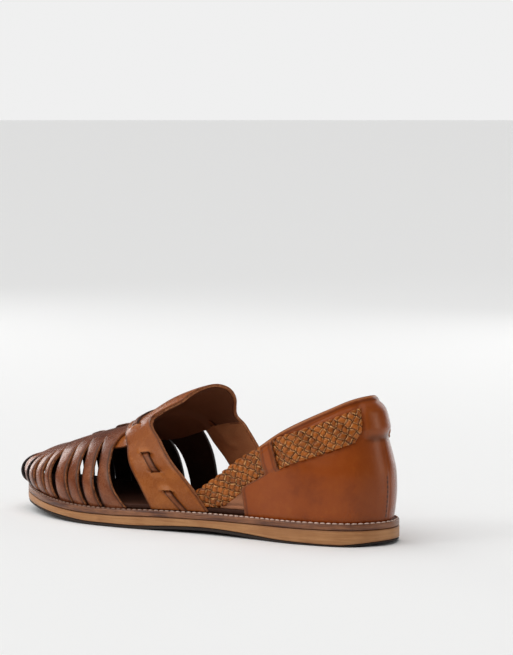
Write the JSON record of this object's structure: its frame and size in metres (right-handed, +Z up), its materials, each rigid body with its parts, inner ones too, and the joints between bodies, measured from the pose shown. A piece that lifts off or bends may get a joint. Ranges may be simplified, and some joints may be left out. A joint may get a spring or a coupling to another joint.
{
  "type": "fisherman sandal",
  "caption": "Left fisherman sandal: slatted leather vamp, laced instep band with a tongue flap, woven side straps, closed glossy heel, flat stitched sole in stacked layers.",
  "frame": {"origin": "on the floor under the middle of the shoe's box: half its length and half its width, at the tread's lowest plane", "axes": "+X from heel to toe, +Y to the outer (little toe) side of this left shoe, +Z up from the floor"},
  "size_m": [0.3009, 0.0996, 0.0918],
  "materials": {
    "rubber": "matte black",
    "stacked_leather": "light tan, fine level grain lines, satin edge",
    "welt_leather": "dark brown with pale stitches along its top",
    "insole_leather": "dark brown, matte",
    "quarter_leather": "glossy burnished orange-brown",
    "woven_leather": "golden brown basket weave, satin",
    "vamp_leather": "glossy reddish brown with paler cut edges",
    "thong_leather": "brown, satin",
    "saddle_leather": "glossy orange-tan, dark brown lining"
  },
  "bodies": {
    "root": {"tread": "rubber", "outsole": "stacked_leather", "midsole_welt": "welt_leather", "insole": "insole_leather", "quarter": "quarter_leather", "braided_strap_outer": "woven_leather", "braided_strap_inner": "woven_leather", "vamp": "vamp_leather", "vamp_thong": "thong_leather", "saddle": "saddle_leather", "saddle_thong": "thong_leather"}
  },
  "joints": []
}
